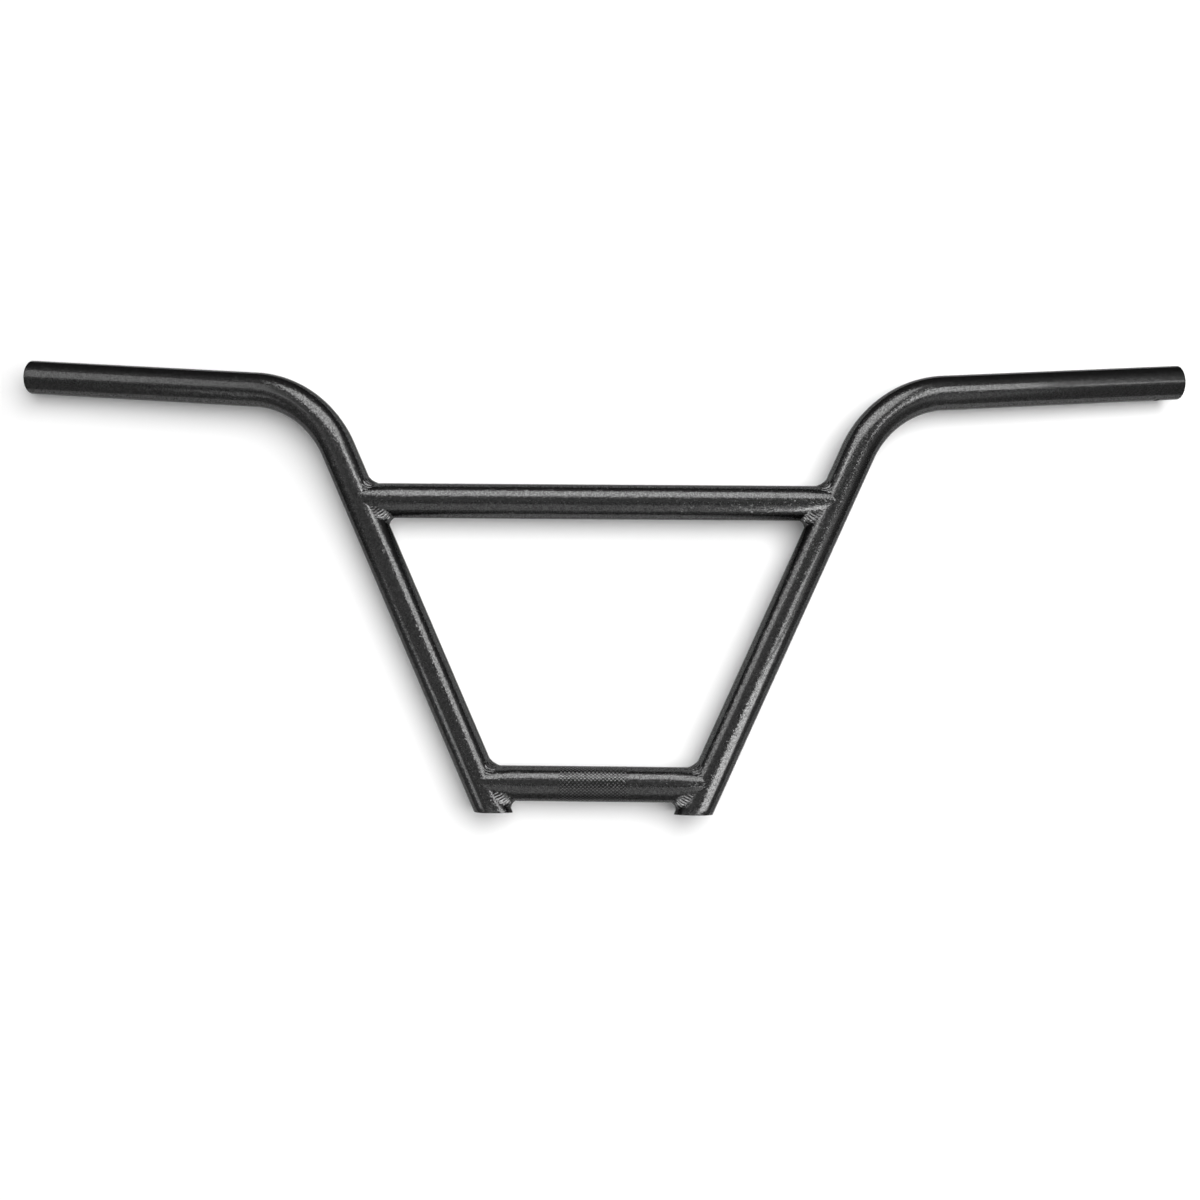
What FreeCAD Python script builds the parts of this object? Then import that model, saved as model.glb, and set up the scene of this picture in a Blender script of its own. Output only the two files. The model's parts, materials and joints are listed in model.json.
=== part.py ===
import FreeCAD, Part
import Sketcher
import math
import os

# A welded BMX handlebar: two bent risers, a crossbar and a clamp bar, all of the same round tube.
# Millimetres and degrees. The origin is the middle of the clamp bar, on its axis.
# +X runs along the clamp bar, +Y back to the rider and +Z up.

Vector = FreeCAD.Vector
doc = FreeCAD.newDocument("bmx_handlebar")

# Driving dimensions
sizes = doc.addObject("Spreadsheet::Sheet", "sizes")
driving = [
    ("tube_diameter", "22.2"),      # outside of every tube, the size that stems and grips fit
    ("riser_wall", "1.25"),
    ("crossbar_wall", "1.0"),
    ("clamp_wall", "2.0"),
    ("end_width", "762"),           # between the centres of the two grip ends
    ("foot_spacing", "141.3"),      # between the risers' axes, at the clamp bar's axis
    ("riser_lean", "24.2"),         # of each riser, outwards from upright
    ("corner_height", "247.3"),     # where a riser's two straight runs would meet
    ("bend_radius", "68"),          # of the bend's centre line
    ("up_sweep", "5.2"),            # of the grip sections, above level
    ("back_sweep", "12"),           # of the grip sections, towards the rider
    ("crossbar_height", "178"),     # of the crossbar's axis
    ("foot_drop", "18.3"),          # from the clamp bar's axis down to the level cut of the feet
    ("end_chamfer", "0.3"),         # of the outer edge of each grip end
    ("hang_hole", "4"),             # diameter, under the right grip end
    ("hang_inset", "15"),           # from the right grip end to the hole
    ("knurl_length", "44"),
    ("knurl_rise", "0.1"),          # of the knurl's crests above the tube
    ("knurl_fade", "1.5"),          # length over which each end of the knurl runs out
    ("weld_leg", "4.8"),            # from the seam to the edge of the bead, on either tube
    ("weld_crown", "0.5"),          # of a ripple's crest above a flat line from edge to edge
    ("weld_ripple", "0.35"),        # from crest to valley
    ("weld_pitch", "4.5"),            # from crest to crest
    ("weld_rounding", "0.4"),       # how far inside the bar's surface the seam is followed
]
for row, (name, value) in enumerate(driving, start=1):
    sizes.set(f"A{row}", name)
    sizes.set(f"B{row}", value)
    sizes.setAlias(f"B{row}", name)

# Sizes worked out from the driving ones
worked_out = [
    ("tube_radius", "tube_diameter / 2"),
    ("riser_run", "corner_height / cos(riser_lean)"),
    ("bend_turn", "acos(sin(riser_lean) * cos(up_sweep) * cos(back_sweep)"
                  " + cos(riser_lean) * sin(up_sweep)) / 1 deg"),
    ("bend_tangent", "bend_radius * tan(bend_turn / 2)"),
    ("grip_run", "(end_width / 2 - foot_spacing / 2 - corner_height * tan(riser_lean))"
                 " / (cos(up_sweep) * cos(back_sweep))"),
    ("bend_swing", "atan2(cos(up_sweep) * sin(back_sweep);"
                   " cos(up_sweep) * cos(back_sweep) * cos(riser_lean)"
                   " - sin(up_sweep) * sin(riser_lean)) / 1 deg"),
    ("foot_run", "foot_drop / cos(riser_lean)"),
    ("clamp_reach", "foot_spacing / 2"),
    ("crossbar_reach", "clamp_reach + crossbar_height * tan(riser_lean)"),
]
for row, (name, formula) in enumerate(worked_out, start=len(driving) + 2):
    sizes.set(f"A{row}", name)
    sizes.set(f"B{row}", "=" + formula)
    sizes.setAlias(f"B{row}", name)
doc.recompute()


def plane_of(body, role):
    return next(feature for feature in body.Origin.OriginFeatures if feature.Role == role)


def add_sketch(body, name, role, offset=None):
    sketch = body.newObject("Sketcher::SketchObject", name)
    sketch.AttachmentSupport = [(plane_of(body, role), "")]
    sketch.MapMode = "FlatFace"
    if offset:
        sketch.setExpression("AttachmentOffset", offset)
    return sketch


def constrain(sketch, expression, *arguments):
    index = sketch.addConstraint(Sketcher.Constraint(*arguments))
    sketch.setExpression(f"Constraints[{index}]", expression)


def add_circle(sketch, radius_expression, guess):
    circle = sketch.addGeometry(Part.Circle(Vector(), Vector(0, 0, 1), guess))
    sketch.addConstraint(Sketcher.Constraint("Coincident", circle, 3, -1, 1))
    constrain(sketch, radius_expression, "Radius", circle, guess)


def add_ring(sketch, wall):
    add_circle(sketch, "sizes.tube_radius", sizes.tube_radius)
    add_circle(sketch, f"sizes.tube_radius - sizes.{wall}", sizes.tube_radius - sizes.get(wall))


def add_pocket(body, sketch, length, midplane=False):
    doc.recompute()
    before = body.Shape.Volume
    pocket = body.newObject("PartDesign::Pocket", sketch.Name + "_cut")
    pocket.Profile = sketch
    pocket.Midplane = midplane
    pocket.setExpression("Length", length)
    doc.recompute()
    if not body.Shape.Volume < before:
        raise RuntimeError(f"{pocket.Name} cuts nothing")
    return pocket


# Risers: one tube bent in a plane that is turned about the upright run, which gives the back sweep
def leaning(side):
    return (f"rotation(vector(0; 1; 0); {side} * sizes.riser_lean)"
            f" * rotation(vector(0; 0; 1); {side} * sizes.bend_swing)")


def level_again(side):
    return (f"rotation(vector(0; 0; 1); {-side} * sizes.bend_swing)"
            f" * rotation(vector(0; 1; 0); {-side} * sizes.riser_lean)")


def add_riser(label, side):
    body = doc.addObject("PartDesign::Body", label)
    body.Label = label
    foot_place = f"vector({side} * sizes.clamp_reach; 0; 0)"
    body.setExpression("Placement", f"placement({foot_place}; {leaning(side)})")

    turn = math.radians(sizes.bend_turn)
    start = Vector(0, -sizes.foot_run - sizes.tube_diameter, 0)
    bend_start = Vector(0, sizes.riser_run - sizes.bend_tangent, 0)
    centre = bend_start + Vector(side * sizes.bend_radius, 0, 0)
    along_grip = Vector(side * math.sin(turn), math.cos(turn), 0)
    corner = Vector(0, sizes.riser_run, 0)
    bend_end = corner + along_grip * sizes.bend_tangent
    tip = corner + along_grip * sizes.grip_run

    route = add_sketch(body, label + "_route", "XZ_Plane")
    upright = route.addGeometry(Part.LineSegment(start, bend_start))
    angles = (math.pi - turn, math.pi) if side > 0 else (0, turn)
    circle = Part.Circle(centre, Vector(0, 0, 1), sizes.bend_radius)
    bend = route.addGeometry(Part.ArcOfCircle(circle, *angles))
    grip = route.addGeometry(Part.LineSegment(bend_end, tip))
    near, far = (2, 1) if side > 0 else (1, 2)
    route.addConstraint(Sketcher.Constraint("PointOnObject", upright, 1, -2))
    route.addConstraint(Sketcher.Constraint("Vertical", upright))
    route.addConstraint(Sketcher.Constraint("Tangent", upright, 2, bend, near))
    route.addConstraint(Sketcher.Constraint("Tangent", bend, far, grip, 1))
    constrain(route, "sizes.foot_run + sizes.tube_diameter", "DistanceY", upright, 1, -1, 1, -start.y)
    constrain(route, "sizes.riser_run - sizes.bend_tangent", "DistanceY", -1, 1, upright, 2, bend_start.y)
    constrain(route, "sizes.bend_radius", "Radius", bend, sizes.bend_radius)
    constrain(route, f"90 - {side} * sizes.bend_turn", "Angle", grip, math.pi / 2 - side * turn)
    constrain(route, "sizes.grip_run - sizes.bend_tangent", "Distance", grip, (tip - bend_end).Length)

    route_start = "vector(0; 0; -sizes.foot_run - sizes.tube_diameter)"
    section = add_sketch(body, label + "_section", "XY_Plane",
                         f"placement({route_start}; rotation(vector(0; 0; 1); 0))")
    add_ring(section, "riser_wall")
    doc.recompute()
    tube = body.newObject("PartDesign::AdditivePipe", label + "_tube")
    tube.Profile = section
    tube.Spine = (route, ["Edge1", "Edge2", "Edge3"])

    # The feet are cut level, whatever the lean
    foot = add_sketch(body, label + "_foot", "XY_Plane",
                      f"placement(vector(0; 0; -sizes.foot_run); {level_again(side)})")
    add_circle(foot, "sizes.tube_diameter", sizes.tube_diameter)
    add_pocket(body, foot, "2 * sizes.tube_diameter")
    return body


# The hole under the right grip end, drilled straight up
def add_hang_hole(body, side):
    inset = "(sizes.grip_run - sizes.hang_inset)"
    hole = add_sketch(body, body.Label + "_hang_hole", "XY_Plane",
                      f"placement(vector({side} * {inset} * sin(sizes.bend_turn); 0;"
                      f" sizes.riser_run + {inset} * cos(sizes.bend_turn)); {level_again(side)})")
    add_circle(hole, "sizes.hang_hole / 2", sizes.hang_hole / 2)
    add_pocket(body, hole, "sizes.tube_diameter")


def add_end_chamfer(body):
    doc.recompute()
    tube = body.Tip
    end_edge = max(range(len(body.Shape.Edges)),
                   key=lambda index: (round(abs(body.Shape.Edges[index].CenterOfMass.x), 3),
                                      body.Shape.Edges[index].Length))
    chamfer = body.newObject("PartDesign::Chamfer", body.Label + "_end")
    chamfer.Base = (tube, [f"Edge{end_edge + 1}"])
    chamfer.setExpression("Size", "sizes.end_chamfer")


left_riser = add_riser("left_riser", -1)
right_riser = add_riser("right_riser", 1)
add_end_chamfer(left_riser)
add_end_chamfer(right_riser)
add_hang_hole(right_riser, 1)


# The two level bars are coped at both ends to sit on the risers
def cope_ends(body, reach):
    along_riser = "rotation(vector(0; 1; 0); sizes.riser_lean)"
    cope = add_sketch(body, body.Label + "_cope", "XY_Plane",
                      f"placement(vector(sizes.{reach}; 0; 0); {along_riser})")
    add_circle(cope, "sizes.tube_radius", sizes.tube_radius)
    cut = add_pocket(body, cope, "4 * sizes.tube_diameter", midplane=True)
    both = body.newObject("PartDesign::Mirrored", body.Label + "_copes")
    both.Originals = [cut]
    both.MirrorPlane = (plane_of(body, "YZ_Plane"), [""])
    body.Tip = both


crossbar = doc.addObject("PartDesign::Body", "crossbar")
crossbar.Label = "crossbar"
crossbar.setExpression("Placement.Base.z", "sizes.crossbar_height")
crossbar_section = add_sketch(crossbar, "crossbar_section", "YZ_Plane")
add_ring(crossbar_section, "crossbar_wall")
crossbar_tube = crossbar.newObject("PartDesign::Pad", "crossbar_tube")
crossbar_tube.Profile = crossbar_section
crossbar_tube.Midplane = True
crossbar_tube.setExpression("Length", "2 * sizes.crossbar_reach")
cope_ends(crossbar, "crossbar_reach")

clamp_bar = doc.addObject("PartDesign::Body", "clamp_bar")
clamp_bar.Label = "clamp_bar"
clamp_section = add_sketch(clamp_bar, "clamp_section", "YZ_Plane")
add_ring(clamp_section, "clamp_wall")
clamp_tube = clamp_bar.newObject("PartDesign::Pad", "clamp_tube")
clamp_tube.Profile = clamp_section
clamp_tube.Midplane = True
clamp_tube.setExpression("Length", "2 * sizes.clamp_reach")
cope_ends(clamp_bar, "clamp_reach")


# The knurled band stands a little proud of the clamp bar and fades out at its ends
def add_knurl(body):
    half = sizes.knurl_length / 2
    inner = sizes.tube_radius - sizes.clamp_wall
    crest = sizes.tube_radius + sizes.knurl_rise
    foot = half + sizes.knurl_fade
    left_points = [(-foot, inner), (-foot, sizes.tube_radius), (-half, crest)]
    points = left_points + [(-x, y) for x, y in reversed(left_points)]
    foot_formula = "sizes.knurl_length / 2 + sizes.knurl_fade"
    formulas = [(foot_formula, "sizes.tube_radius - sizes.clamp_wall"),
                (foot_formula, "sizes.tube_radius"),
                ("sizes.knurl_length / 2", "sizes.tube_radius + sizes.knurl_rise")]

    profile = add_sketch(body, "knurl_profile", "XZ_Plane")
    count = len(points)
    for index in range(count):
        ends = [Vector(*points[index], 0), Vector(*points[(index + 1) % count], 0)]
        profile.addGeometry(Part.LineSegment(*ends))
    for index in range(count):
        profile.addConstraint(Sketcher.Constraint("Coincident", index, 2, (index + 1) % count, 1))
    for index, (out, up) in enumerate(formulas):
        opposite = count - 1 - index
        constrain(profile, out, "DistanceX", index, 1, -1, 1, -points[index][0])
        constrain(profile, up, "DistanceY", -1, 1, index, 1, points[index][1])
        profile.addConstraint(Sketcher.Constraint("Symmetric", index, 1, opposite, 1, -2))
    doc.recompute()
    band = body.newObject("PartDesign::Revolution", "knurl_band")
    band.Profile = profile
    band.ReferenceAxis = (profile, ["H_Axis"])
    band.Angle = 360


add_knurl(clamp_bar)


# Weld beads: a rippled ring along the seam of a level bar on a riser, cut back to seat on both tubes.
# It is worked out for a right-hand joint, from the point where the two axes cross.
radius = sizes.tube_radius
lean = math.radians(sizes.riser_lean)
level_axis = Vector(1, 0, 0)
riser_axis = Vector(math.sin(lean), 0, math.cos(lean))


def seam_point(angle):
    # The bar is taken a little thinner than it is, which rounds the seam's two side corners
    thin = radius - sizes.weld_rounding
    across = thin * math.cos(angle)
    rise = thin * math.sin(angle)
    inward = math.sqrt(radius ** 2 - across ** 2)
    return Vector((rise * math.sin(lean) - inward) / math.cos(lean), across, rise)


def away_from(axis, point):
    return (point - axis * point.dot(axis)).normalize()


def set_at(axis, point, distance):
    return axis * point.dot(axis) + away_from(axis, point) * distance


def weld_section(angle, crown):
    # Corners of the bead: its edge on the riser, two shoulders, its edge on the bar and its root
    small_angle = 0.001
    steepest_slant = 0.6
    shoulder = 0.3
    point = seam_point(angle)
    along = (seam_point(angle + small_angle) - seam_point(angle - small_angle)).normalize()
    from_riser = away_from(riser_axis, point)
    outward = (from_riser + away_from(level_axis, point)).normalize()
    slant = max(math.sqrt(1 - along.x ** 2), steepest_slant)
    up_riser = from_riser.cross(along).normalize()
    riser_toe = set_at(riser_axis, point + up_riser * sizes.weld_leg, radius)
    bar_toe = set_at(level_axis, point - level_axis * (sizes.weld_leg / slant), radius)
    width = bar_toe - riser_toe
    lift = outward * crown
    root = point - outward * (sizes.weld_leg / 2)
    shoulders = [riser_toe + width * shoulder + lift, bar_toe - width * shoulder + lift]
    return [riser_toe, *shoulders, bar_toe, root]


def weld_rings():
    fine_steps = 720
    angles = [2 * math.pi * step / fine_steps for step in range(fine_steps + 1)]
    lengths = [0]
    for first, second in zip(angles, angles[1:]):
        lengths.append(lengths[-1] + (seam_point(second) - seam_point(first)).Length)
    count = 2 * round(lengths[-1] / sizes.weld_pitch)
    rings = []
    for ring in range(count):
        step = next(index for index, length in enumerate(lengths) if length >= lengths[-1] * ring / count)
        valley = sizes.weld_ripple if ring % 2 else 0
        rings.append(weld_section(angles[step], sizes.weld_crown - valley))
    return rings


def weld_bead():
    rings = weld_rings()
    facets = []
    for ring, following in zip(rings, rings[1:] + rings[:1]):
        for index in range(len(ring)):
            beside = (index + 1) % len(ring)
            for corners in ((ring[index], following[index], following[beside]),
                            (ring[index], following[beside], ring[beside])):
                facets.append(Part.Face(Part.makePolygon([*corners, corners[0]])))
    skin = Part.Shell(facets)
    skin.sewShape()
    bead = Part.Solid(skin)
    if bead.Volume < 0:
        bead.reverse()
    stretch = 4 * sizes.tube_diameter
    riser = Part.makeCylinder(radius, 2 * stretch, riser_axis * -stretch, riser_axis)
    bar = Part.makeCylinder(radius, stretch, Vector(), level_axis * -1)
    return bead.cut([riser, bar])


# The beads at a bar's two ends are one pair
def add_welds(label, reach, height):
    right = weld_bead()
    right.translate(level_axis * reach)
    pair = doc.addObject("Part::Feature", label)
    pair.Label = label
    pair.Shape = Part.Compound([right.mirror(Vector(), level_axis), right])
    pair.Placement = FreeCAD.Placement(Vector(0, 0, height), FreeCAD.Rotation())
    return pair


crossbar_welds = add_welds("crossbar_welds", sizes.crossbar_reach, sizes.crossbar_height)
clamp_welds = add_welds("clamp_welds", sizes.clamp_reach, 0)

# Every object has to be sound before anything is written
doc.recompute()
parts = [left_riser, right_riser, crossbar, clamp_bar, crossbar_welds, clamp_welds]
for item in doc.Objects:
    if "Invalid" in item.State or "Error" in item.State:
        raise RuntimeError(f"{item.Name} failed: {item.State}")
for part in parts:
    if part.Shape.isNull() or not part.Shape.isValid():
        raise RuntimeError(f"{part.Label} has no valid shape")

os.makedirs("parts", exist_ok=True)
for part in parts:
    part.Shape.exportStep(f"parts/{part.Label}.step")
    print(part.Label, len(part.Shape.Solids), "solid,", f"{part.Shape.Volume / 1000:.3f} cm3")
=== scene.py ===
import json
import math

import bmesh
import bpy
from mathutils import Matrix, Vector


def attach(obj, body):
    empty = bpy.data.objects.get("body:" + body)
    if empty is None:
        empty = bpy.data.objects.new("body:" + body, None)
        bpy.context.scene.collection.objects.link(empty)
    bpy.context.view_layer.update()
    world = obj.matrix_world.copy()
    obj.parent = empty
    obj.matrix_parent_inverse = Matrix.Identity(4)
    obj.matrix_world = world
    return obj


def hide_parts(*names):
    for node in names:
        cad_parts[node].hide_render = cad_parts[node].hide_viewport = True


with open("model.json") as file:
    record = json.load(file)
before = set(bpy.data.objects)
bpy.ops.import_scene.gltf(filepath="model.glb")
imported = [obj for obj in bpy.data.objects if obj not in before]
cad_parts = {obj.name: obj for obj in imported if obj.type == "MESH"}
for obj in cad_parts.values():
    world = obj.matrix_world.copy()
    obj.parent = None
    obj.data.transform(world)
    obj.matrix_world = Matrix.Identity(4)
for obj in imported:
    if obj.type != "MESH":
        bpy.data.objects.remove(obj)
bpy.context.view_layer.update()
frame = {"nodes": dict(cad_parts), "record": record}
mounts = {mount["name"]: mount for mount in frame["record"]["mounts"]}
print("frame loaded:", len(frame["nodes"]), "nodes")

# the one tube that the whole bar is welded up from, in metres
tube = {
    "radius": mounts["right_grip"]["dims"]["r_mm"] / 1000,
    "sides": 144,
    "lean": math.radians(24.2),       # uprights, out from plumb
    "rimRound": 0.0003,
    "rimSteps": 2,
    "sharpAngle": math.radians(50),
}


# node helpers, for geometry and shader trees alike
def addNode(tree, kind, inputs, **choices):
    node = tree.nodes.new(kind)
    for choice, value in choices.items():
        setattr(node, choice, value)
    for place, value in inputs.items():
        if isinstance(value, bpy.types.NodeSocket):
            tree.links.new(value, node.inputs[place])
        else:
            node.inputs[place].default_value = value
    return node.outputs


def addMath(tree, operation, *values):
    return addNode(tree, "ShaderNodeMath", dict(enumerate(values)), operation=operation)[0]


def addVectorMath(tree, operation, *values):
    return addNode(tree, "ShaderNodeVectorMath", dict(enumerate(values)), operation=operation)[0]


def startTree(name, inputs):
    tree = bpy.data.node_groups.new(name, "GeometryNodeTree")
    tree.interface.new_socket("Geometry", in_out="INPUT", socket_type="NodeSocketGeometry")
    for label, kind in inputs.items():
        tree.interface.new_socket(label, in_out="INPUT", socket_type="NodeSocket" + kind)
    tree.interface.new_socket("Material", in_out="INPUT", socket_type="NodeSocketMaterial")
    tree.interface.new_socket("Geometry", in_out="OUTPUT", socket_type="NodeSocketGeometry")
    return tree, tree.nodes.new("NodeGroupInput").outputs


def endTree(tree, geometry, material):
    whole = addNode(tree, "GeometryNodeRealizeInstances", {"Geometry": geometry})["Geometry"]
    smooth = addNode(tree, "GeometryNodeSetShadeSmooth", {"Geometry": whole})["Geometry"]
    painted = addNode(tree, "GeometryNodeSetMaterial", {"Geometry": smooth, "Material": material})
    tree.links.new(painted["Geometry"], tree.nodes.new("NodeGroupOutput").inputs["Geometry"])


def bakedMesh(obj):
    evaluated = obj.evaluated_get(bpy.context.evaluated_depsgraph_get())
    mesh = bpy.data.meshes.new_from_object(evaluated)
    bpy.data.objects.remove(obj)
    return mesh


def runTree(data, tree, values):
    obj = bpy.data.objects.new(tree.name, data)
    bpy.context.collection.objects.link(obj)
    modifier = obj.modifiers.new(tree.name, "NODES")
    modifier.node_group = tree
    for item in tree.interface.items_tree:
        if item.in_out == "INPUT" and item.name in values:
            modifier[item.identifier] = values[item.name]
    return bakedMesh(obj)


# dark metallic paint: tilted flakes under a gloss clear coat
paintLook = {
    "dark": (0.018, 0.018, 0.018, 1),
    "light": (0.075, 0.075, 0.075, 1),
    "edge": (0.1, 0.1, 0.1, 1),
    "flakeSize": 0.0006,
    "tilt": 0.55,
    "roughness": 0.2,
    "coat": 0.42,
    "coatRoughness": 0.05,
    "coatIndex": 1.5,
}


def flakeGroup():
    group = bpy.data.node_groups.new("metalFlakes", "ShaderNodeTree")
    for label, kind in (("Vector", "Vector"), ("Flake Size", "Float"), ("Tilt", "Float")):
        group.interface.new_socket(label, in_out="INPUT", socket_type="NodeSocket" + kind)
    for label, kind in (("Sparkle", "Float"), ("Normal", "Vector")):
        group.interface.new_socket(label, in_out="OUTPUT", socket_type="NodeSocket" + kind)
    given = group.nodes.new("NodeGroupInput").outputs
    perMetre = addMath(group, "DIVIDE", 1.0, given["Flake Size"])
    flake = addNode(group, "ShaderNodeTexVoronoi", {"Vector": given["Vector"], "Scale": perMetre})["Color"]
    lean = addVectorMath(group, "SUBTRACT", flake, (0.5, 0.5, 0.5))
    # most flakes lie almost flat, a few stand up
    reach = addNode(group, "ShaderNodeVectorMath", {0: lean}, operation="LENGTH")["Value"]
    amount = addMath(group, "MULTIPLY", addMath(group, "MULTIPLY", reach, reach), given["Tilt"])
    leanScaled = addNode(group, "ShaderNodeVectorMath", {0: lean, "Scale": amount}, operation="SCALE")[0]
    facing = group.nodes.new("ShaderNodeNewGeometry").outputs["Normal"]
    tilted = addVectorMath(group, "NORMALIZE", addVectorMath(group, "ADD", facing, leanScaled))
    sparkle = addNode(group, "ShaderNodeSeparateColor", {"Color": flake})["Red"]
    output = group.nodes.new("NodeGroupOutput")
    group.links.new(sparkle, output.inputs["Sparkle"])
    group.links.new(tilted, output.inputs["Normal"])
    return group


def makePaint(flakes):
    material = bpy.data.materials.new("flakePaint")
    material.use_nodes = True
    tree = material.node_tree
    shader = tree.nodes["Principled BSDF"]
    place = tree.nodes.new("ShaderNodeTexCoord").outputs["Object"]
    flake = tree.nodes.new("ShaderNodeGroup")
    flake.node_tree = flakes
    tree.links.new(place, flake.inputs["Vector"])
    flake.inputs["Flake Size"].default_value = paintLook["flakeSize"]
    flake.inputs["Tilt"].default_value = paintLook["tilt"]
    # painted shade and painted sheen on the knurl: its grooves get less flake sparkle and clear coat than the skin,
    # its crests more, standing in for the knurl's own shading
    knurlShadeAndSheen = addNode(tree, "ShaderNodeAttribute", {}, attribute_name="knurlShadeAndSheen")["Fac"]
    skin = addMath(tree, "SUBTRACT", 1.0, knurlShadeAndSheen)
    colour = addNode(tree, "ShaderNodeMix", {0: addMath(tree, "MULTIPLY", flake.outputs["Sparkle"], skin),
                                             6: paintLook["dark"], 7: paintLook["light"]}, data_type="RGBA")[2]
    tree.links.new(colour, shader.inputs["Base Color"])
    tree.links.new(flake.outputs["Normal"], shader.inputs["Normal"])
    shader.inputs["Metallic"].default_value = 1.0
    shader.inputs["Roughness"].default_value = paintLook["roughness"]
    shader.inputs["Specular Tint"].default_value = paintLook["edge"]
    tree.links.new(addMath(tree, "MULTIPLY", skin, paintLook["coat"]), shader.inputs["Coat Weight"])
    shader.inputs["Coat Roughness"].default_value = paintLook["coatRoughness"]
    shader.inputs["Coat IOR"].default_value = paintLook["coatIndex"]
    return material


paint = makePaint(flakeGroup())
print("paint mixed")


# a round skin swept along a path
def makeSweepTree():
    tree, given = startTree("tubeSweep", {"Radius": "Float", "Sides": "Int"})
    ring = addNode(tree, "GeometryNodeCurvePrimitiveCircle",
                   {"Resolution": given["Sides"], "Radius": given["Radius"]})["Curve"]
    skin = addNode(tree, "GeometryNodeCurveToMesh", {"Curve": given["Geometry"], "Profile Curve": ring})["Mesh"]
    endTree(tree, skin, given["Material"])
    return tree


sweepTree = makeSweepTree()


def sweptSkin(path, radius, sides):
    curve = bpy.data.curves.new("path", "CURVE")
    curve.dimensions = "3D"
    spline = curve.splines.new("POLY")
    spline.points.add(len(path) - 1)
    for point, place in zip(spline.points, path):
        point.co = (*place, 1)
    return runTree(curve, sweepTree, {"Radius": radius, "Sides": sides, "Material": paint})


# outer skin and bore joined by a rounded rim at each end, once the ends are cut to shape
def hollowTube(outer, bore, cutEnd):
    form = bmesh.new()
    form.from_mesh(outer)
    outerFaces = set(form.faces)
    form.from_mesh(bore)
    bmesh.ops.reverse_faces(form, faces=[face for face in form.faces if face not in outerFaces])
    openEdges = [edge for edge in form.edges if edge.is_boundary]
    for vert in {vert for edge in openEdges for vert in edge.verts}:
        vert.co = cutEnd(vert.co.copy())
    middle = sum((edge.verts[0].co.x for edge in openEdges), 0.0) / len(openEdges)
    for end in (1, -1):
        loops = [edge for edge in openEdges if end * (edge.verts[0].co.x - middle) > 0]
        bmesh.ops.bridge_loops(form, edges=loops)
    if form.calc_volume(signed=True) < 0:
        bmesh.ops.reverse_faces(form, faces=form.faces)
    bmesh.ops.bevel(form, geom=openEdges, offset=tube["rimRound"], segments=tube["rimSteps"], profile=0.5,
                    affect="EDGES")
    mesh = bpy.data.meshes.new("tube")
    form.to_mesh(mesh)
    form.free()
    return mesh


def addPiece(name, mesh, node):
    mesh.materials.clear()
    mesh.materials.append(paint)
    mesh.shade_smooth()
    mesh.set_sharp_from_angle(angle=tube["sharpAngle"])
    piece = bpy.data.objects.new(name, mesh)
    bpy.context.collection.objects.link(piece)
    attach(piece, "root")
    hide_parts(node)
    return piece


# the two bent risers, each one tube from its foot to its grip end
riser = {
    "bore": mounts["right_plug"]["dims"]["r_mm"] / 1000,
    "footReach": 0.07065,             # clamp bar's middle to the uprights' axis
    "footDrop": 0.0183,               # level cut below the clamp bar's axis
    "bendRadius": 0.068,
    "bendSteps": 48,
    "hold": 0.001,                    # rings this near the rim and the bend
    "footHold": 0.007,                # clear of the level cut
    "hangHole": 0.002,
    "hangSides": 48,
    "hangFlare": 0.75,                # the hole widens into the bore
    "hangInset": 0.015,
}


def riserPath(side):
    upright = Vector((side * math.sin(tube["lean"]), 0, math.cos(tube["lean"])))
    plug = mounts["right_plug" if side > 0 else "left_plug"]
    axis = Vector(plug["axis"])
    half = plug["dims"]["length_mm"] / 2000
    bendEnd = Vector(plug["pos_m"]) - axis * half
    gripEnd = Vector(plug["pos_m"]) + axis * half
    turn = upright.angle(axis)
    hinge = upright.cross(axis).normalized()
    centre = bendEnd + hinge.cross(axis) * riser["bendRadius"]
    bend = [centre + Matrix.Rotation(turn * (step / riser["bendSteps"] - 1), 3, hinge) @ (bendEnd - centre)
            for step in range(riser["bendSteps"] + 1)]
    foot = Vector((side * riser["footReach"], 0, 0)) - upright * (riser["footDrop"] / math.cos(tube["lean"]))
    # plain rings by the rims and the bend keep the shading straight between them
    path = [foot, foot + upright * riser["footHold"], bend[0] - upright * riser["hold"], *bend,
            bendEnd + axis * riser["hold"], gripEnd - axis * riser["hold"], gripEnd]
    return path, upright, axis


def hangCutter(gripEnd, axis):
    wall = tube["radius"] - riser["bore"]
    skin = gripEnd - axis * riser["hangInset"] - Vector((0, 0, tube["radius"]))
    reach = 2 * wall                  # of the cutter, each way from the skin
    flare = reach * riser["hangFlare"]
    form = bmesh.new()
    bmesh.ops.create_cone(form, cap_ends=True, segments=riser["hangSides"], radius1=riser["hangHole"] - flare,
                          radius2=riser["hangHole"] + flare, depth=2 * reach, matrix=Matrix.Translation(skin))
    mesh = bpy.data.meshes.new("hangCutter")
    form.to_mesh(mesh)
    form.free()
    return bpy.data.objects.new("hangCutter", mesh)


def makeRiser(side):
    path, upright, axis = riserPath(side)
    foot = path[0]

    def levelFoot(place):
        if (place - foot).length > 2 * tube["radius"]:
            return place
        return place - upright * ((place.z + riser["footDrop"]) / upright.z)

    skins = [sweptSkin(path, radius, tube["sides"]) for radius in (tube["radius"], riser["bore"])]
    mesh = hollowTube(*skins, levelFoot)
    if side > 0:
        cutter = hangCutter(path[-1], axis)
        drilled = bpy.data.objects.new("drilled", mesh)
        for obj in (cutter, drilled):
            bpy.context.collection.objects.link(obj)
        hole = drilled.modifiers.new("hangHole", "BOOLEAN")
        hole.object = cutter
        hole.solver = "EXACT"
        mesh = bakedMesh(drilled)
        bpy.data.objects.remove(cutter)
    return mesh


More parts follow.
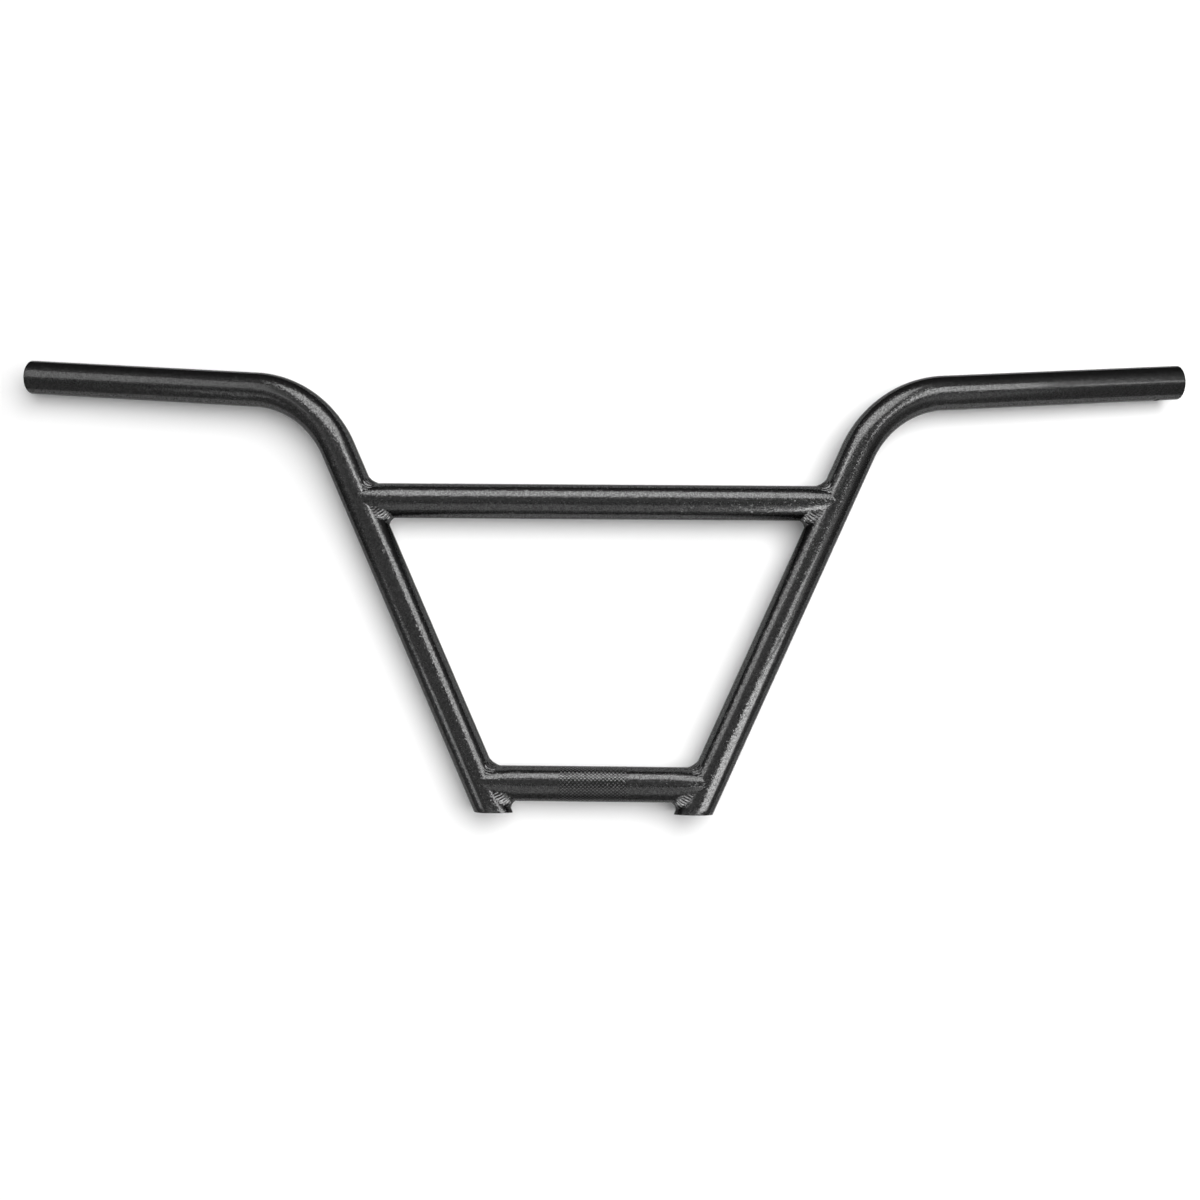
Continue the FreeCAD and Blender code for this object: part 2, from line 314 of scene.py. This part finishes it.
pieces = [addPiece("leftRiserTube", makeRiser(-1), "left_riser"),
          addPiece("rightRiserTube", makeRiser(1), "right_riser")]
print("risers bent")

# the two level bars, coped to sit in the risers' walls
crossbar = {"reach": 0.15065, "height": 0.178, "bore": 0.0101, "sides": 144, "hold": 0.13, "seed": 3.0}
clampBar = {"reach": 0.07065, "height": 0.0, "bore": 0.0091, "sides": 320, "hold": 0.05, "seed": 9.0}
copeDepth = 0.0004                    # the ends stop this far inside the riser's skin
knurl = {
    "length": 0.044,
    "fade": 0.0015,
    "diamonds": 30.0,                 # round the bar
    "step": 0.0025,                   # along it
    "low": -0.00008,
    "high": 0.00006,
    "crest": 0.6,                     # diamond height where the painted shade on the sides has turned into painted sheen on the crest
    # painted shade in the knurl's grooves: no flake sparkle or clear coat there
    "shade": 1.0,
    # painted sheen on the knurl's crests: below zero, so they get more flake sparkle and clear coat than the plain
    # skin
    "shine": -1.0,
    "rows": 200,
}


def makeKnurlTree():
    tree, given = startTree("diamondKnurl", {"Length": "Float", "Fade": "Float", "Diamonds": "Float", "Step": "Float",
                                             "Low": "Float", "High": "Float", "Crest": "Float", "Shade": "Float",
                                             "Shine": "Float"})
    place = tree.nodes.new("GeometryNodeInputPosition").outputs["Position"]
    x, y, z = addNode(tree, "ShaderNodeSeparateXYZ", {0: place})
    turn = addMath(tree, "DIVIDE", addMath(tree, "ARCTAN2", z, y), 2 * math.pi)
    around = addMath(tree, "MULTIPLY", turn, given["Diamonds"])
    along = addMath(tree, "DIVIDE", x, given["Step"])
    grooves = [addMath(tree, "PINGPONG", addMath(tree, way, around, along), 0.5) for way in ("ADD", "SUBTRACT")]
    diamond = addMath(tree, "MULTIPLY", addMath(tree, "MINIMUM", *grooves), 2.0)
    lift = addNode(tree, "ShaderNodeMapRange", {"Value": diamond, 3: given["Low"], 4: given["High"]},
                   interpolation_type="SMOOTHSTEP")[0]
    half = addMath(tree, "DIVIDE", given["Length"], 2.0)
    edge = addMath(tree, "SUBTRACT", half, addMath(tree, "ABSOLUTE", x))
    band = addNode(tree, "ShaderNodeMapRange", {"Value": edge, 2: given["Fade"]}, interpolation_type="SMOOTHSTEP")[0]
    outward = addVectorMath(tree, "NORMALIZE", addVectorMath(tree, "MULTIPLY", place, (0.0, 1.0, 1.0)))
    shift = addNode(tree, "ShaderNodeVectorMath", {0: outward, "Scale": addMath(tree, "MULTIPLY", lift, band)},
                    operation="SCALE")[0]
    moved = addNode(tree, "GeometryNodeSetPosition", {"Geometry": given["Geometry"], "Offset": shift})["Geometry"]
    # painted shade in the grooves and painted sheen on the crests, stored on the points for the paint to read
    sunk = addNode(tree, "ShaderNodeMapRange", {"Value": diamond, 2: given["Crest"], 3: given["Shade"],
                                                4: given["Shine"]}, interpolation_type="SMOOTHSTEP")[0]
    marked = addNode(tree, "GeometryNodeStoreNamedAttribute",
                     {"Geometry": moved, "Name": "knurlShadeAndSheen", "Value": addMath(tree, "MULTIPLY", sunk, band)},
                     data_type="FLOAT", domain="POINT")["Geometry"]
    endTree(tree, marked, given["Material"])
    return tree


def copeAt(reach, height):
    def cope(place):
        rise = place.z - height
        across = min(abs(place.y), tube["radius"] - copeDepth)
        inward = math.sqrt((tube["radius"] - copeDepth) ** 2 - across ** 2)
        end = reach + (rise * math.sin(tube["lean"]) - inward) / math.cos(tube["lean"])
        return Vector((math.copysign(end, place.x), place.y, place.z))
    return cope


def barSkin(bar, between, radius):
    stations = [-bar["reach"], *between, bar["reach"]]
    return sweptSkin([Vector((x, 0, bar["height"])) for x in stations], radius, bar["sides"])


def makeCrossbar():
    holds = [-crossbar["hold"], crossbar["hold"]]
    skins = [barSkin(crossbar, holds, radius) for radius in (tube["radius"], crossbar["bore"])]
    return hollowTube(*skins, copeAt(crossbar["reach"], crossbar["height"]))


def makeClampBar():
    rows = [knurl["length"] * (row / knurl["rows"] - 0.5) for row in range(knurl["rows"] + 1)]
    plain = barSkin(clampBar, [-clampBar["hold"], *rows, clampBar["hold"]], tube["radius"])
    values = {name.capitalize(): value for name, value in knurl.items() if name != "rows"}
    outer = runTree(plain, makeKnurlTree(), {**values, "Material": paint})
    bore = barSkin(clampBar, [], clampBar["bore"])
    return hollowTube(outer, bore, copeAt(clampBar["reach"], clampBar["height"]))


pieces += [addPiece("crossbarTube", makeCrossbar(), "crossbar"),
           addPiece("clampBarTube", makeClampBar(), "clamp_bar")]
print("bars coped and knurled")

# weld beads: a fillet round each coped end, rippled along its seam
weld = {
    "leg": 0.005,
    "crown": -0.0008,                 # below zero, so the face is hollow
    "root": 0.0008,                   # the bead's inner edge, under the seam
    "sunk": 0.00012,
    "slantLimit": 0.6,
    "ringStep": 0.00025,
    "across": 14,
    "seamSteps": 2880,
    "seamEase": 90,
    "pitch": 0.0024,
    "ripple": 0.0003,
    "middle": 0.6,                    # of a scallop, so that ripples keep the bead's size
    "bow": 0.9,
    "uneven": 0.0003,
    "lumps": 450.0,                   # to the metre
}


def makeWeldTree():
    tree, given = startTree("weldRipples", {"Pitch": "Float", "Ripple": "Float", "Middle": "Float", "Bow": "Float",
                                            "Uneven": "Float", "Lumps": "Float", "Seed": "Float"})
    along, across = [addNode(tree, "GeometryNodeInputNamedAttribute", {"Name": label}, data_type="FLOAT")["Attribute"]
                     for label in ("alongSeam", "acrossBead")]
    side = addMath(tree, "MULTIPLY", across, across)
    phase = addMath(tree, "ADD", addMath(tree, "DIVIDE", along, given["Pitch"]),
                    addMath(tree, "MULTIPLY", side, given["Bow"]))
    scallop = addMath(tree, "ABSOLUTE", addMath(tree, "SINE", addMath(tree, "MULTIPLY", phase, math.pi)))
    crown = addMath(tree, "SUBTRACT", 1.0, addMath(tree, "POWER", side, 2.0))
    wave = addMath(tree, "MULTIPLY", addMath(tree, "SUBTRACT", scallop, given["Middle"]), given["Ripple"])
    lump = addNode(tree, "ShaderNodeTexNoise", {"W": given["Seed"], "Scale": given["Lumps"], "Detail": 1.0},
                   noise_dimensions="4D")[0]
    uneven = addMath(tree, "MULTIPLY", addMath(tree, "SUBTRACT", lump, 0.5), given["Uneven"])
    height = addMath(tree, "MULTIPLY", addMath(tree, "ADD", wave, uneven), crown)
    normal = tree.nodes.new("GeometryNodeInputNormal").outputs["Normal"]
    shift = addNode(tree, "ShaderNodeVectorMath", {0: normal, "Scale": height}, operation="SCALE")[0]
    moved = addNode(tree, "GeometryNodeSetPosition", {"Geometry": given["Geometry"], "Offset": shift})["Geometry"]
    endTree(tree, moved, given["Material"])
    return tree


weldTree = makeWeldTree()
riserAxis = Vector((math.sin(tube["lean"]), 0, math.cos(tube["lean"])))
barAxis = Vector((1, 0, 0))


def awayFrom(axis, place):
    return (place - axis * place.dot(axis)).normalized()


def onSkin(axis, place, depth):
    return axis * place.dot(axis) + awayFrom(axis, place) * (tube["radius"] - depth)


def seamPoint(angle):
    across = tube["radius"] * math.cos(angle)
    rise = tube["radius"] * math.sin(angle)
    return Vector(((rise * math.sin(tube["lean"]) - abs(rise)) / math.cos(tube["lean"]), across, rise))


def seamLine():
    steps, ease = weld["seamSteps"], weld["seamEase"]
    fine = [seamPoint(2 * math.pi * step / steps) for step in range(steps)]
    # the seam's corner at each side is eased by averaging its neighbours
    eased = [sum((fine[(step + near) % steps] for near in range(-ease, ease + 1)), Vector()) / (2 * ease + 1)
             for step in range(steps)]
    eased = [onSkin(barAxis, place, 0) for place in eased] + [onSkin(barAxis, eased[0], 0)]
    lengths = [0.0]
    for before, after in zip(eased, eased[1:]):
        lengths.append(lengths[-1] + (after - before).length)
    return eased, lengths


def ringPlaces():
    line, lengths = seamLine()
    total = lengths[-1]
    count = round(total / weld["ringStep"])
    places, at = [], 0
    for ring in range(count):
        want = total * ring / count
        while lengths[at + 1] < want:
            at += 1
        share = (want - lengths[at]) / (lengths[at + 1] - lengths[at])
        places.append(line[at].lerp(line[at + 1], share))
    return places, total


def beadMesh(bar, side):
    places, total = ringPlaces()
    count = len(places)
    pitch = total / round(total / weld["pitch"])
    verts, along, across = [], [], []
    for ring, place in enumerate(places):
        tangent = (places[(ring + 1) % count] - places[ring - 1]).normalized()
        fromRiser, fromBar = awayFrom(riserAxis, place), awayFrom(barAxis, place)
        outward = (fromRiser + fromBar).normalized()
        upRiser = fromRiser.cross(tangent).normalized()
        slant = max(math.sqrt(1 - tangent.x ** 2), weld["slantLimit"])
        riserToe = onSkin(riserAxis, place + upRiser * weld["leg"], weld["sunk"])
        barToe = onSkin(barAxis, place - barAxis * (weld["leg"] / slant), weld["sunk"])
        section = []
        for step in range(weld["across"] + 1):
            share = 2 * step / weld["across"] - 1
            swell = outward * weld["crown"] * (1 - share ** 2)
            section.append((riserToe.lerp(barToe, (share + 1) / 2) + swell, share))
        section.append((place - outward * weld["root"], 1.0))
        for spot, share in section:
            verts.append((side * (bar["reach"] + spot.x), spot.y, bar["height"] + spot.z))
            along.append(ring * total / count)
            across.append(share)
    width = weld["across"] + 2
    faces = []
    for ring in range(count):
        here, there = ring * width, (ring + 1) % count * width
        for step in range(width):
            nextStep = (step + 1) % width
            faces.append((here + step, there + step, there + nextStep, here + nextStep))
    mesh = bpy.data.meshes.new("bead")
    mesh.from_pydata(verts, [], faces)
    for label, values in (("alongSeam", along), ("acrossBead", across)):
        mesh.attributes.new(label, "FLOAT", "POINT").data.foreach_set("value", values)
    form = bmesh.new()
    form.from_mesh(mesh)
    if form.calc_volume(signed=True) < 0:
        bmesh.ops.reverse_faces(form, faces=form.faces)
    form.to_mesh(mesh)
    form.free()
    return runTree(mesh, weldTree, {"Pitch": pitch, "Ripple": weld["ripple"], "Middle": weld["middle"],
                                    "Bow": weld["bow"], "Uneven": weld["uneven"], "Lumps": weld["lumps"],
                                    "Seed": bar["seed"] + side, "Material": paint})


def makeBeads(bar):
    form = bmesh.new()
    for side in (-1, 1):
        form.from_mesh(beadMesh(bar, side))
    mesh = bpy.data.meshes.new("beads")
    form.to_mesh(mesh)
    form.free()
    return mesh


pieces += [addPiece("crossbarBeads", makeBeads(crossbar), "crossbar_welds"),
           addPiece("clampBeads", makeBeads(clampBar), "clamp_welds")]
print("weld beads laid")

# camera, as the photograph was taken
view = {"place": (0.027847, -0.986676, 0.039847), "yaw": -1.448, "pitch": 4.388, "roll": -0.586, "focal": 1566.466,
        "pixels": 1200, "sensor": 36}


def makeCamera():
    yaw, pitch, roll = (math.radians(view[turn]) for turn in ("yaw", "pitch", "roll"))
    ahead = Vector((math.sin(yaw) * math.cos(pitch), math.cos(yaw) * math.cos(pitch), math.sin(pitch)))
    right = Vector((math.cos(yaw), -math.sin(yaw), 0))
    down = ahead.cross(right)
    turnedRight = right * math.cos(roll) + down * math.sin(roll)
    turnedDown = down * math.cos(roll) - right * math.sin(roll)
    data = bpy.data.cameras.new("camera")
    data.sensor_width = view["sensor"]
    data.lens = view["focal"] / view["pixels"] * data.sensor_width
    camera = bpy.data.objects.new("camera", data)
    bpy.context.collection.objects.link(camera)
    facing = Matrix((turnedRight, -turnedDown, -ahead)).transposed().to_4x4()
    camera.matrix_world = Matrix.Translation(view["place"]) @ facing
    bpy.context.scene.camera = camera


makeCamera()

# white paper hung close behind the bar, following its sweep, above a pale floor
paper = {"gap": 0.021, "sweep": math.tan(math.radians(10.8)), "bendStart": 0.178, "ease": 0.012, "width": 0.92,
         "columns": 220, "top": 0.31, "bottom": -0.07, "colour": (0.9, 0.9, 0.9, 1), "glow": 0.1}
wall = {"away": 1.7, "width": 2.4, "top": 1.4, "bottom": -0.85, "glow": 1.0}
floor = {"height": -0.9, "size": 8.0, "glow": 0.27}


# what the camera and reflections look at, as against what lights the room
def seenRay(tree):
    path = tree.nodes.new("ShaderNodeLightPath").outputs
    mirrored = addMath(tree, "MAXIMUM", path["Is Glossy Ray"], path["Is Transmission Ray"])
    return addMath(tree, "MAXIMUM", path["Is Camera Ray"], mirrored), path["Is Shadow Ray"]


def makePaper(name, glow):
    material = bpy.data.materials.new(name)
    material.use_nodes = True
    tree = material.node_tree
    tree.nodes.remove(tree.nodes["Principled BSDF"])
    plain = addNode(tree, "ShaderNodeBsdfDiffuse", {"Color": paper["colour"]})["BSDF"]
    seen, shadow = seenRay(tree)
    lift = addNode(tree, "ShaderNodeEmission", {"Strength": addMath(tree, "MULTIPLY", seen, glow)})["Emission"]
    lit = addNode(tree, "ShaderNodeAddShader", {0: plain, 1: lift})["Shader"]
    clear = tree.nodes.new("ShaderNodeBsdfTransparent").outputs["BSDF"]
    behind = tree.nodes.new("ShaderNodeNewGeometry").outputs["Backfacing"]
    through = addMath(tree, "MAXIMUM", behind, shadow)
    sheet = addNode(tree, "ShaderNodeMixShader", {0: through, 1: lit, 2: clear})["Shader"]
    tree.links.new(sheet, tree.nodes["Material Output"].inputs["Surface"])
    return material


def addStage(name, verts, faces, material):
    mesh = bpy.data.meshes.new(name)
    mesh.from_pydata(verts, [], faces)
    mesh.materials.append(material)
    mesh.shade_smooth()
    sheet = bpy.data.objects.new(name, mesh)
    bpy.context.collection.objects.link(sheet)
    return sheet


def makeStage():
    columns = paper["columns"]
    verts = []
    for x in [paper["width"] * (column / columns - 0.5) for column in range(columns + 1)]:
        beyond = (abs(x) - paper["bendStart"]) / paper["ease"]
        swept = paper["ease"] * (math.log1p(math.exp(-abs(beyond))) + max(beyond, 0)) * paper["sweep"]
        verts += [(x, paper["gap"] + swept, z) for z in (paper["top"], paper["bottom"])]
    faces = [(2 * column, 2 * column + 1, 2 * column + 3, 2 * column + 2) for column in range(columns)]
    side, half = wall["width"] / 2, floor["size"] / 2
    top, bottom = wall["top"], wall["bottom"]
    upright = [(x, wall["away"], z) for x, z in ((-side, top), (-side, bottom), (side, bottom), (side, top))]
    ground = [(x, y, floor["height"]) for x, y in ((-half, -half), (half, -half), (half, half), (-half, half))]
    return [addStage("hungPaper", verts, faces, makePaper("studioPaper", paper["glow"])),
            addStage("farPaper", upright, [(0, 1, 2, 3)], makePaper("studioWall", wall["glow"])),
            addStage("floorPaper", ground, [(0, 1, 2, 3)], makePaper("studioFloor", floor["glow"]))]


stage = makeStage()

# softboxes for the bar, or the pieces named: each stands off from the spot it faces; bright is its face
beads = ("crossbarBeads", "clampBeads")
softboxes = {
    "topBox": {"spot": (-0.02, 0, 0.09), "azimuth": 0, "height": 49.5,
               "distance": 0.805, "size": (0.75, 0.5), "bright": 4.2},
    "rightBox": {"spot": (-0.13, 0, 0.11), "azimuth": 43, "height": 20.5,
                 "distance": 1.5, "size": (0.74, 0.56), "bright": 5.2,
                 "lights": ("leftRiserTube", "crossbarTube", "clampBarTube", *beads)},
    "gripRightBox": {"spot": (0.3, 0.025, 0.258), "azimuth": 31.5, "height": 14.5,
                     "distance": 1.6, "size": (0.36, 0.9), "bright": 5.4, "lights": ("rightRiserTube",)},
    "leftBox": {"spot": (0, 0, 0.15), "azimuth": -46.5, "height": 22.5,
                "distance": 1.6, "size": (0.85, 0.6), "bright": 2.8, "lights": ("rightRiserTube", *beads)},
    "gripBox": {"spot": (0, 0, 0.15), "azimuth": -51.5, "height": 17.5,
                "distance": 1.6, "size": (0.6, 0.9), "bright": 1.5, "lights": ("leftRiserTube",)},
    "lineBox": {"spot": (0.33, 0.03, 0.26), "azimuth": 44.5, "height": 2.5,
                "distance": 1.6, "size": (0.3, 0.24), "bright": 3.2, "lights": ("rightRiserTube",)},
    "lowBox": {"spot": (0.095, 0, 0.055), "azimuth": 38, "height": -25,
               "distance": 0.28, "size": (0.21, 0.19), "bright": 6.0},
    "lowSideBox": {"spot": (0.11, 0, 0.08), "azimuth": 30, "height": -1,
                   "distance": 0.42, "size": (0.15, 0.08), "bright": 5.0},
    "lowRightBox": {"spot": (0.245, 0.013, 0.253), "azimuth": 38, "height": -35,
                    "distance": 0.5, "size": (0.2, 0.35), "bright": 0.6, "lights": ("rightRiserTube",)},
    "lowLeftBox": {"spot": (-0.105, 0, 0.07), "azimuth": -51, "height": -29,
                   "distance": 0.405, "size": (0.13, 0.2), "bright": 2.2},
    "lowGripBox": {"spot": (-0.245, 0.013, 0.253), "azimuth": -45, "height": -38,
                   "distance": 0.5, "size": (0.15, 0.2), "bright": 0.7, "lights": ("leftRiserTube",)},
    "weldRightBox": {"spot": (-0.1, 0, 0.08), "azimuth": 60, "height": -42,
                     "distance": 0.7, "size": (0.5, 0.4), "bright": 7.0, "lights": beads},
    "weldLeftBox": {"spot": (0.1, 0, 0.08), "azimuth": -60, "height": -42,
                    "distance": 0.7, "size": (0.5, 0.4), "bright": 7.0, "lights": beads},
    "frontFill": {"spot": (0.08, 0, 0.09), "azimuth": 0, "height": -44,
                  "distance": 0.79, "size": (0.85, 0.7), "bright": 0.7},
    "backBox": {"spot": (0, 0, 0.12), "azimuth": 180, "height": 8,
                "distance": 1.8, "size": (0.6, 0.6), "bright": 4.0},
}
paperLamp = {"place": (0.85, -2.33, 0.58), "radius": 1.35, "bright": 1.42}
room = {"front": 0.5, "side": 0.15, "turnFrom": 0.05, "turnTo": 0.75, "unseen": 0.2}


def makeGroup(name, members):
    group = bpy.data.collections.new(name)
    for member in members:
        group.objects.link(member)
    return group


def direction(azimuth, height):
    turn, up = math.radians(azimuth), math.radians(height)
    return Vector((math.sin(turn) * math.cos(up), -math.cos(turn) * math.cos(up), math.sin(up)))


def addLamp(name, light, towards, place, lit):
    lamp = bpy.data.objects.new(name, light)
    bpy.context.collection.objects.link(lamp)
    lamp.location = place
    lamp.rotation_euler = towards.to_track_quat("Z", "Y").to_euler()
    lamp.visible_camera = False
    lamp.light_linking.receiver_collection = makeGroup(name + "Lights", lit)


def addSoftbox(name, box):
    light = bpy.data.lights.new(name, "AREA")
    light.shape = "RECTANGLE"
    light.size, light.size_y = box["size"]
    light.energy = box["bright"] * math.pi * light.size * light.size_y
    towards = direction(box["azimuth"], box["height"])
    lit = [piece for piece in pieces if "lights" not in box or piece.name in box["lights"]]
    addLamp(name, light, towards, Vector(box["spot"]) + towards * box["distance"], lit)


def addPaperLamp():
    light = bpy.data.lights.new("paperLamp", "POINT")
    light.shadow_soft_size = paperLamp["radius"]
    light.energy = 4 * math.pi ** 2 * paperLamp["bright"]
    light.use_nodes = True
    even = addNode(light.node_tree, "ShaderNodeLightFalloff", {"Strength": 1.0})["Constant"]
    light.node_tree.links.new(even, light.node_tree.nodes["Emission"].inputs["Strength"])
    place = Vector(paperLamp["place"])
    addLamp("paperLamp", light, place, place, stage[:1])


def makeRoom():
    world = bpy.data.worlds.new("room")
    bpy.context.scene.world = world
    world.use_nodes = True
    tree = world.node_tree
    way = tree.nodes.new("ShaderNodeTexCoord").outputs["Generated"]
    back = addNode(tree, "ShaderNodeSeparateXYZ", {0: way})["Y"]
    ahead = addMath(tree, "MULTIPLY", back, -1.0)
    level = addNode(tree, "ShaderNodeMapRange", {"Value": ahead, 1: room["turnFrom"], 2: room["turnTo"],
                                                 3: room["side"], 4: room["front"]},
                    interpolation_type="SMOOTHSTEP")[0]
    tree.links.new(level, tree.nodes["Background"].inputs["Color"])
    share = addNode(tree, "ShaderNodeMapRange", {"Value": seenRay(tree)[0], 3: room["unseen"]})[0]
    tree.links.new(share, tree.nodes["Background"].inputs["Strength"])


for name, box in softboxes.items():
    addSoftbox(name, box)
addPaperLamp()
makeRoom()
bpy.context.scene.view_settings.view_transform = "Standard"
print("stage lit")
